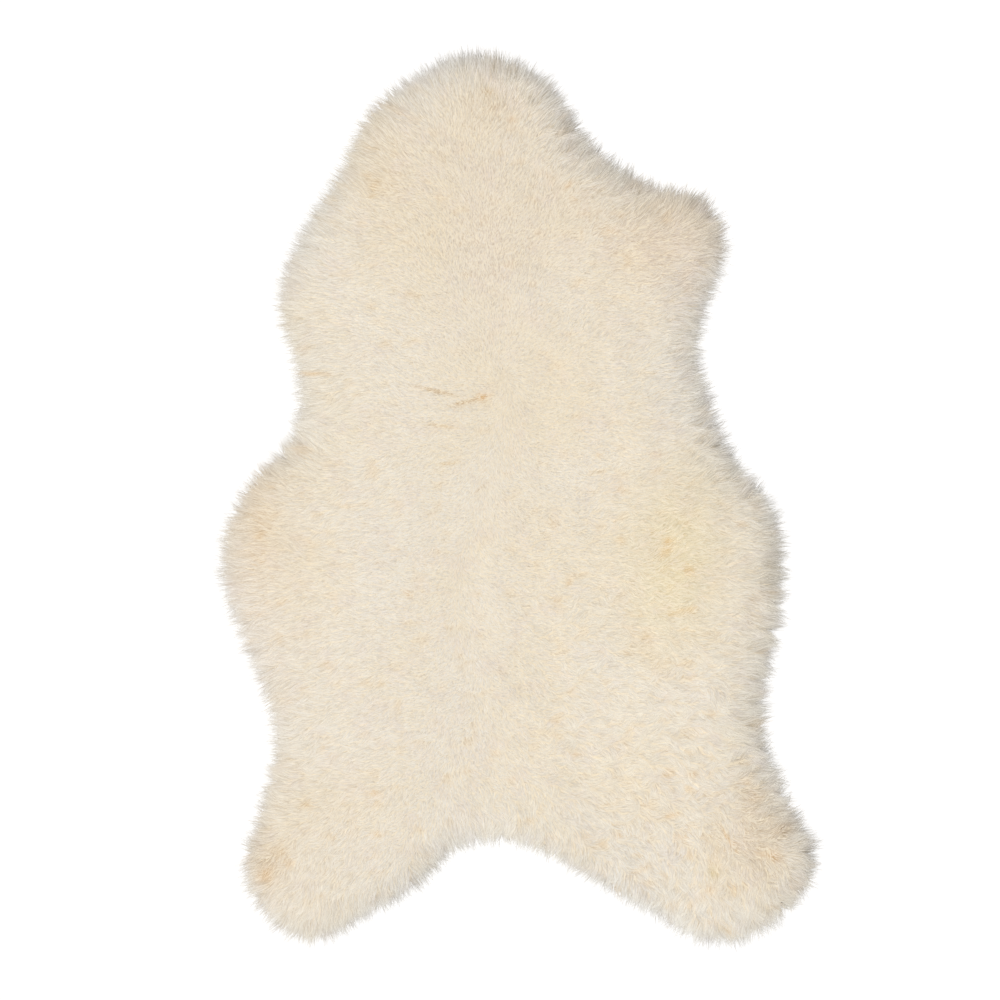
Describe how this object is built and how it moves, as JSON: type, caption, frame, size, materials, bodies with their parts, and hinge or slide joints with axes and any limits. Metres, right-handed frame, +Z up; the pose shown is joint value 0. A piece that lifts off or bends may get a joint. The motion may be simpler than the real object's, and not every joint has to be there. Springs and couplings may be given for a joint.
{
  "type": "sheepskin rug",
  "caption": "Natural ivory sheepskin laid flat, wool side up, cut to the pelt's own outline with neck, one foreleg and two hind legs.",
  "frame": {"origin": "under the middle of the bounding box, on the surface that the rug lies on", "axes": "+Y from tail to neck, along the rug's length; +X across it, towards the foreleg; +Z up out of the wool"},
  "size_m": [0.6716, 1, 0.0401],
  "materials": {
    "wool": "dense soft ivory wool pile, fine wavy fibres in loose tufts",
    "hide": "matt suede flesh side of the tanned hide"
  },
  "bodies": {
    "root": {"sheepskin": "wool"}
  },
  "joints": []
}
